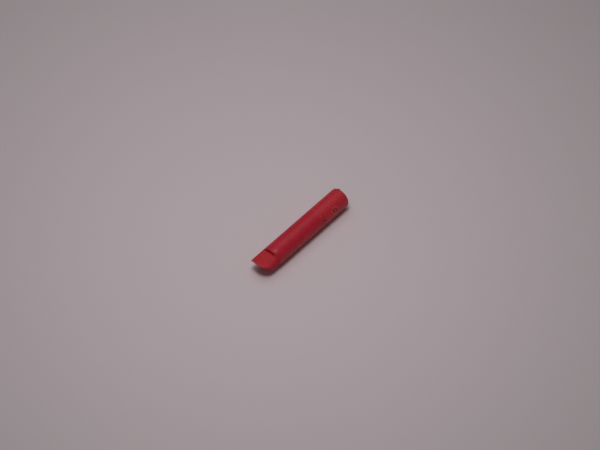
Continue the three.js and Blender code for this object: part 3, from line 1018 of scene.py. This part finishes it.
def grip_dimple(x, angle):
    """Depth of the round recess on the cap's side, with a rib across it and a raised rim."""
    along, far = from_dimple(x, angle)
    recess = 1 - smooth_step(DIMPLE_R - 0.5 * MM, DIMPLE_R + 0.1 * MM, far)
    recess *= smooth_step(DIMPLE_RIB / 2 - 0.2 * MM, DIMPLE_RIB / 2 + 0.3 * MM, along)
    rim = math.exp(-((far - DIMPLE_R - 0.45 * MM) / (0.45 * MM)) ** 2)
    return DIMPLE_DEPTH * recess - DIMPLE_RIM * rim


def dimple_highlight(x, angle, r):
    """Painted highlight on the grip dimple's raised rim and along its rib."""
    along, far = from_dimple(x, angle)
    rim = math.exp(-((far - DIMPLE_R - 0.6 * MM) / (0.75 * MM)) ** 2)
    rib = 1 - smooth_step(0.3 * DIMPLE_RIB, 0.6 * DIMPLE_RIB, along) if far < DIMPLE_R else 0
    return max(rim, 0.7 * rib) if r > OUTER_R - 1.0 * MM else 0


def make_cap():
    """The cap: open bore, cross wall, hollow spigot and the round grip dimple on its side."""
    start, spigot_end = span("cap_shell")
    wall = span("cap_cushion")[1] + LAYER_GAP
    seat = span("striker_cover")[0] - SEAT_GAP

    def skin(x, angle, r):
        if r < OUTER_R - SKIN_DEPTH:
            return x, r
        return x, cap_skin(x, angle, r) - grip_dimple(x, angle)

    # Painted shade: darker down in the grip dimple's recess.
    def shade_and_grime(x, angle, r):
        if r <= CAP_BORE_R + CAP_LEAD:
            return 0
        return 0.8 * smooth_step(0.12 * MM, 0.5 * MM, OUTER_R - r)

    corners = [(wall, 0), (wall, CAP_BORE_R), (start + CAP_LEAD_LENGTH, CAP_BORE_R),
               (start - HAIRLINE, CAP_BORE_R + CAP_LEAD), (start - HAIRLINE, OUTER_R),
               (seat + HAIRLINE, OUTER_R), (seat + HAIRLINE, SPIGOT_R), (spigot_end, SPIGOT_R),
               (spigot_end, STRIKER_WELL_R), (seat, STRIKER_WELL_R), (seat, 0)]
    cap = turned("cap_body", corners, corner_radius=0.22 * MM, segments=384, step=0.22 * MM,
                 from_radius=OUTER_R - 0.05 * MM, shape=skin)
    store_mark(cap, shade_and_grime)
    store_mark(cap, dimple_highlight, "painted_highlight")
    finished(cap, "cap", "cap_plastic", "cap_shell")


def make_cap_fittings():
    """Felt cushion in the bore, the wooden carrier, and the gritty striker pad."""

    def disc(node, end_inset=0.0):
        start, end = span(node)
        end -= end_inset
        return [(start, 0), (start, radius(node)), (end, radius(node)), (end, 0)]

    def fluffy(x, angle, r):
        return (x + 0.12 * MM * bumps(x, angle, r, 0.8 * MM),
                r - 0.1 * MM * abs(bumps(x, angle, r, 1 * MM)))

    cushion = turned("felt_cushion", disc("cap_cushion"), corner_radius=0.35 * MM,
                     step=0.35 * MM, shape=fluffy)
    finished(cushion, "cap", "felt", "cap_cushion")

    carrier = turned("striker_block", disc("striker_carrier"), corner_radius=0.3 * MM)
    finished(carrier, "cap", "striker_wood", "striker_carrier")

    pad_start, _ = span("striker_pad")

    def gritty(x, angle, r):
        if x > pad_start + 0.4 * MM:
            x += (0.16 * MM * bumps(x, angle, r, 0.45 * MM)
                  + 0.08 * MM * bumps(x, angle, r, 0.22 * MM, 2.0))
        return x, r - 0.12 * MM * abs(bumps(x, angle, r, 0.7 * MM))

    pad = turned("striker_face", disc("striker_pad", STRIKER_GRIT), corner_radius=0.3 * MM,
                 step=0.16 * MM, segments=256, shape=gritty)
    finished(pad, "cap", "striker", "striker_pad")


def make_lid():
    """The lid over the striker: a softly rounded rim, and a nub for the thumb."""
    start, end = span("striker_cover")
    start -= HAIRLINE
    ceiling = end - LID_TOP
    nub_top = BOXES["striker_cover"][1].z - AXIS_Z
    nub_x = end - NUB_FROM_END

    def skin(x, angle, r):
        if r < LID_BORE_R + 0.3 * MM and x < ceiling + 0.1 * MM:
            return x, r
        if x > end - 0.05 * MM:
            return x - 0.02 * MM * (1 + bumps(x, angle, r, 3 * MM)), r
        r = cap_skin(x, angle, r)
        side = away(angle, NUB_ANGLE)
        far = math.hypot(x - nub_x, side * OUTER_R)
        if far < NUB_R + 0.2 * MM:
            top = nub_top / math.cos(side) * 1.006 - 0.3 * MM * (far / NUB_R) ** 2
            r += (top - r) * (1 - smooth_step(0.5 * NUB_R, 1.1 * NUB_R, far))
        return x, r

    turns = [k / LID_FILLET_STEPS * math.pi / 2 for k in range(LID_FILLET_STEPS + 1)]
    rim = [(end - LID_FILLET * (1 - math.sin(turn)), OUTER_R - LID_FILLET * (1 - math.cos(turn)))
           for turn in turns]
    corners = [(ceiling, 0), (ceiling, LID_BORE_R), (start + 0.6 * MM, LID_BORE_R),
               (start, LID_BORE_R + 0.2 * MM), (start, OUTER_R)] + rim + [(end, 0)]
    lid = turned("striker_lid", corners, corner_radius=0.2 * MM, segments=512, step=0.2 * MM,
                 from_radius=OUTER_R - LID_FILLET - 0.5 * MM, shape=skin)

    # Darker on the thumb nub and towards the end's rounded rim.
    def shade_and_grime(x, angle, r):
        if r < LID_UNMARKED_R:
            return 0
        far = math.hypot(x - nub_x, away(angle, NUB_ANGLE) * OUTER_R)
        on_nub = 1 - smooth_step(NUB_R, 1.6 * NUB_R, far)
        return max(0.5 * on_nub, 0.8 * smooth_step(end - 2.0 * MM, end - 0.7 * MM, x))

    store_mark(lid, shade_and_grime)
    finished(lid, "cover", "cap_plastic", "striker_cover")


make_wrap()
make_foot()
make_tacks()
make_collar()
make_liner()
make_igniter()
make_tear_band()
make_tear_tab()
make_cap()
make_cap_fittings()
make_lid()

# Every CAD node takes its slot's material, whether it is shown or stands behind a piece.
for node, cad_object in frame["nodes"].items():
    slot = next(p["material_slot"] for p in frame["record"]["subparts"] if p["node"] == node)
    cad_object.data.materials.clear()
    cad_object.data.materials.append(MATERIALS[slot])

# --------------------------------------------------------------------------------------------
# Floor, light and camera
# --------------------------------------------------------------------------------------------

FLOOR_HALF = 6.0
FLOOR_TONE = (0.80, 0.690, 0.720)
VIEW_AZIMUTH = math.radians(-47.85)
VIEW_ELEVATION = math.radians(52)
LENS = 200.0
SENSOR = 36.0
VIEW_WIDTH = 685.8 * MM  # how much of the floor's width the picture takes in, at the flare
AIM_RISE = 8.35 * MM
AIM_SIDE = -0.3 * MM
KEY_DIRECTION = (-0.12, -0.04, 1.0)
KEY_DISTANCE = 0.85
KEY_SIZE = 0.31
KEY_POWER = 2.2
FILL_PLACE = (0.17, 0.29, 0.9)
FILL_SIZE = 0.8
FILL_POWER = 1.34
SKY_STRENGTH = 0.076


def make_floor():
    mesh = bmesh.new()
    bmesh.ops.create_grid(mesh, x_segments=8, y_segments=8, size=FLOOR_HALF)
    data = bpy.data.meshes.new("floor")
    mesh.to_mesh(data)
    mesh.free()
    floor = bpy.data.objects.new("floor", data)
    bpy.context.scene.collection.objects.link(floor)
    s = Shader("pale_floor", roughness=0.7, specular=0.2)
    tone = s.mix(s.noise(40.0, detail=3.0), tuple(c * 0.985 for c in FLOOR_TONE), FLOOR_TONE)
    s.raise_by(s.noise(0.6, detail=2.0), 0.01, 0.3)
    data.materials.append(s.done(tone))


def make_lamp(name, place, size, power):
    """A round soft lamp that points at the middle of the flare."""
    lamp = bpy.data.lights.new(name, "AREA")
    lamp.shape = "DISK"
    lamp.size = size
    lamp.energy = power
    holder = bpy.data.objects.new(name, lamp)
    holder.location = place
    holder.rotation_mode = "QUATERNION"
    holder.rotation_quaternion = (-Vector(place)).to_track_quat("-Z", "Y")
    bpy.context.scene.collection.objects.link(holder)


def make_light():
    make_lamp("key", Vector(KEY_DIRECTION).normalized() * KEY_DISTANCE, KEY_SIZE, KEY_POWER)
    make_lamp("fill", FILL_PLACE, FILL_SIZE, FILL_POWER)
    world = bpy.data.worlds.new("soft_sky")
    world.use_nodes = True
    world.node_tree.nodes["Background"].inputs["Color"].default_value = (1, 1, 1, 1)
    world.node_tree.nodes["Background"].inputs["Strength"].default_value = SKY_STRENGTH
    bpy.context.scene.world = world


def make_camera():
    camera = bpy.data.cameras.new("camera")
    camera.lens = LENS
    camera.sensor_width = SENSOR
    holder = bpy.data.objects.new("camera", camera)
    bpy.context.scene.collection.objects.link(holder)
    a, e = VIEW_AZIMUTH, VIEW_ELEVATION
    back = Vector((math.sin(a) * math.cos(e), -math.cos(a) * math.cos(e), math.sin(e)))
    up = Vector((-math.sin(a) * math.sin(e), math.cos(a) * math.sin(e), math.cos(e)))
    distance = VIEW_WIDTH * LENS / SENSOR
    side = up.cross(back)
    holder.location = Vector((0, 0, AXIS_Z)) + up * AIM_RISE + side * AIM_SIDE + back * distance
    holder.rotation_mode = "QUATERNION"
    holder.rotation_quaternion = (-back).to_track_quat("-Z", "Y")
    camera.clip_end = 50
    bpy.context.scene.camera = holder


make_floor()
make_light()
make_camera()
bpy.context.scene.view_settings.view_transform = "Standard"
